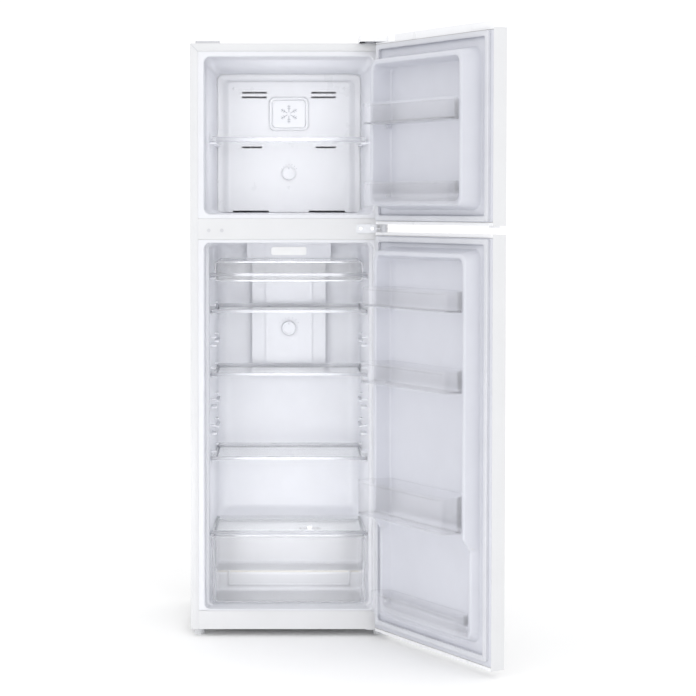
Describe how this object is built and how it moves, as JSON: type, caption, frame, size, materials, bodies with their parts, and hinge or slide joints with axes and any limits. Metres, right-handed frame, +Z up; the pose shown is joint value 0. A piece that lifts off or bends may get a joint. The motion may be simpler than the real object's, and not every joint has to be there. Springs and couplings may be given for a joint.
{
  "type": "top freezer refrigerator",
  "caption": "Free-standing top-mount refrigerator with two right-hinged doors, glass shelves, clear door bins and drawers, shown open.",
  "frame": {"origin": "on the floor, under the middle of the cabinet's footprint (doors not counted)", "axes": "+X to the viewer's right and the hinge side, +Y to the back, +Z up"},
  "size_m": [0.8181, 1.0016, 1.658],
  "materials": {
    "painted_steel": "satin",
    "galvanised_steel": "satin",
    "foam": "matte",
    "liner_plastic": "satin",
    "white_plastic": "satin",
    "clear_plastic": "gloss",
    "shelf_glass": "gloss",
    "trim_plastic": "satin",
    "gasket_rubber": "matte",
    "aluminium": "satin",
    "dark_plastic": "matte",
    "grey_plastic": "matte",
    "compressor_shell": "satin",
    "copper": "satin",
    "lamp_diffuser": "satin",
    "screw_steel": "polished"
  },
  "bodies": {
    "cabinet": {"outer_shell": "painted_steel", "back_panel": "galvanised_steel", "base_plate": "painted_steel", "cabinet_foam": "foam", "freezer_liner": "liner_plastic", "fridge_liner": "liner_plastic", "crossbeam_plate": "painted_steel", "evaporator_cover": "white_plastic", "fan_cover": "white_plastic", "evaporator_coil": "aluminium", "defrost_heater": "aluminium", "fan_motor": "dark_plastic", "air_duct_cover": "white_plastic", "lamp_lens": "lamp_diffuser", "compressor": "compressor_shell", "refrigerant_pipes": "copper", "drip_tray": "dark_plastic", "power_inlet": "dark_plastic", "top_hinge_bracket": "galvanised_steel", "top_hinge_cover": "white_plastic", "middle_hinge_bracket": "galvanised_steel", "bottom_hinge_bracket": "galvanised_steel", "hinge_screws": "screw_steel", "hinge_hole_caps": "white_plastic", "crisper_cover": "shelf_glass", "crisper_cover_trim": "trim_plastic"},
    "fan": {"fan_blades": "dark_plastic"},
    "freezer_control": {"freezer_dial": "white_plastic", "damper_vane": "grey_plastic"},
    "fridge_control": {"fridge_dial": "white_plastic"},
    "left_foot": {"left_foot": "grey_plastic"},
    "right_foot": {"right_foot": "grey_plastic"},
    "rear_rollers": {"rear_rollers": "dark_plastic"},
    "freezer_shelf": {"freezer_shelf": "clear_plastic"},
    "lower_shelf": {"glass_shelf_lower": "shelf_glass", "shelf_trims_lower": "trim_plastic"},
    "middle_shelf": {"glass_shelf_middle": "shelf_glass", "shelf_trims_middle": "trim_plastic"},
    "upper_shelf": {"glass_shelf_upper": "shelf_glass", "shelf_trims_upper": "trim_plastic"},
    "humidity_slider": {"humidity_slider": "trim_plastic"},
    "crisper_drawer": {"crisper_drawer": "clear_plastic"},
    "chiller_drawer": {"chiller_drawer": "clear_plastic"},
    "freezer_door": {"freezer_door_skin": "painted_steel", "freezer_door_foam": "foam", "freezer_door_liner": "liner_plastic", "freezer_door_gasket": "gasket_rubber", "freezer_door_caps": "white_plastic"},
    "freezer_bin_lower": {"freezer_bin_lower": "clear_plastic"},
    "freezer_bin_upper": {"freezer_bin_upper": "clear_plastic"},
    "fridge_door": {"fridge_door_skin": "painted_steel", "fridge_door_foam": "foam", "fridge_door_liner": "liner_plastic", "fridge_door_gasket": "gasket_rubber", "fridge_door_caps": "white_plastic"},
    "fridge_bin_bottom": {"fridge_bin_bottom": "clear_plastic"},
    "fridge_bin_lower": {"fridge_bin_lower": "clear_plastic"},
    "fridge_bin_middle": {"fridge_bin_middle": "clear_plastic"},
    "fridge_bin_top": {"fridge_bin_top": "clear_plastic"}
  },
  "joints": [
    {"name": "freezer_door_hinge", "type": "hinge", "parent": "cabinet", "child": "freezer_door", "pos_m": [0.2605, -0.28, 0], "axis": [0, 0, 1], "range_deg": [-120, 15]},
    {"name": "fridge_door_hinge", "type": "hinge", "parent": "cabinet", "child": "fridge_door", "pos_m": [0.2605, -0.28, 0], "axis": [0, 0, 1], "range_deg": [-120, 15]},
    {"name": "freezer_bin_lower_lift", "type": "slide", "parent": "freezer_door", "child": "freezer_bin_lower", "axis": [0, 0, 1], "range_m": [0, 0.03]},
    {"name": "freezer_bin_upper_lift", "type": "slide", "parent": "freezer_door", "child": "freezer_bin_upper", "axis": [0, 0, 1], "range_m": [0, 0.03]},
    {"name": "fridge_bin_bottom_lift", "type": "slide", "parent": "fridge_door", "child": "fridge_bin_bottom", "axis": [0, 0, 1], "range_m": [0, 0.03]},
    {"name": "fridge_bin_lower_lift", "type": "slide", "parent": "fridge_door", "child": "fridge_bin_lower", "axis": [0, 0, 1], "range_m": [0, 0.03]},
    {"name": "fridge_bin_middle_lift", "type": "slide", "parent": "fridge_door", "child": "fridge_bin_middle", "axis": [0, 0, 1], "range_m": [0, 0.03]},
    {"name": "fridge_bin_top_lift", "type": "slide", "parent": "fridge_door", "child": "fridge_bin_top", "axis": [0, 0, 1], "range_m": [0, 0.03]},
    {"name": "freezer_shelf_slide", "type": "slide", "parent": "cabinet", "child": "freezer_shelf", "axis": [0, -1, 0], "range_m": [0, 0.2]},
    {"name": "lower_shelf_slide", "type": "slide", "parent": "cabinet", "child": "lower_shelf", "axis": [0, -1, 0], "range_m": [0, 0.18]},
    {"name": "middle_shelf_slide", "type": "slide", "parent": "cabinet", "child": "middle_shelf", "axis": [0, -1, 0], "range_m": [0, 0.18]},
    {"name": "upper_shelf_slide", "type": "slide", "parent": "cabinet", "child": "upper_shelf", "axis": [0, -1, 0], "range_m": [0, 0.18]},
    {"name": "crisper_slide", "type": "slide", "parent": "cabinet", "child": "crisper_drawer", "axis": [0, -1, 0], "range_m": [0, 0.24]},
    {"name": "chiller_slide", "type": "slide", "parent": "cabinet", "child": "chiller_drawer", "axis": [0, -1, 0], "range_m": [0, 0.18]},
    {"name": "freezer_dial_turn", "type": "hinge", "parent": "cabinet", "child": "freezer_control", "pos_m": [0, 0.164, 1.293], "axis": [0, 1, 0], "range_deg": [-90, 90]},
    {"name": "fridge_dial_turn", "type": "hinge", "parent": "cabinet", "child": "fridge_control", "pos_m": [0, 0.153, 0.833], "axis": [0, 1, 0], "range_deg": [-120, 120]},
    {"name": "humidity_slide", "type": "slide", "parent": "cabinet", "child": "humidity_slider", "axis": [1, 0, 0], "range_m": [-0.018, 0.018]},
    {"name": "fan_spin", "type": "hinge", "parent": "cabinet", "child": "fan", "pos_m": [0, 0.185, 1.467], "axis": [0, 1, 0], "continuous": true},
    {"name": "left_foot_turn", "type": "hinge", "parent": "cabinet", "child": "left_foot", "pos_m": [-0.25, -0.21, 0.01], "axis": [0, 0, 1], "continuous": true},
    {"name": "right_foot_turn", "type": "hinge", "parent": "cabinet", "child": "right_foot", "pos_m": [0.25, -0.21, 0.01], "axis": [0, 0, 1], "continuous": true},
    {"name": "rear_rollers_spin", "type": "hinge", "parent": "cabinet", "child": "rear_rollers", "pos_m": [0, 0.22, 0.009], "axis": [1, 0, 0], "continuous": true}
  ]
}
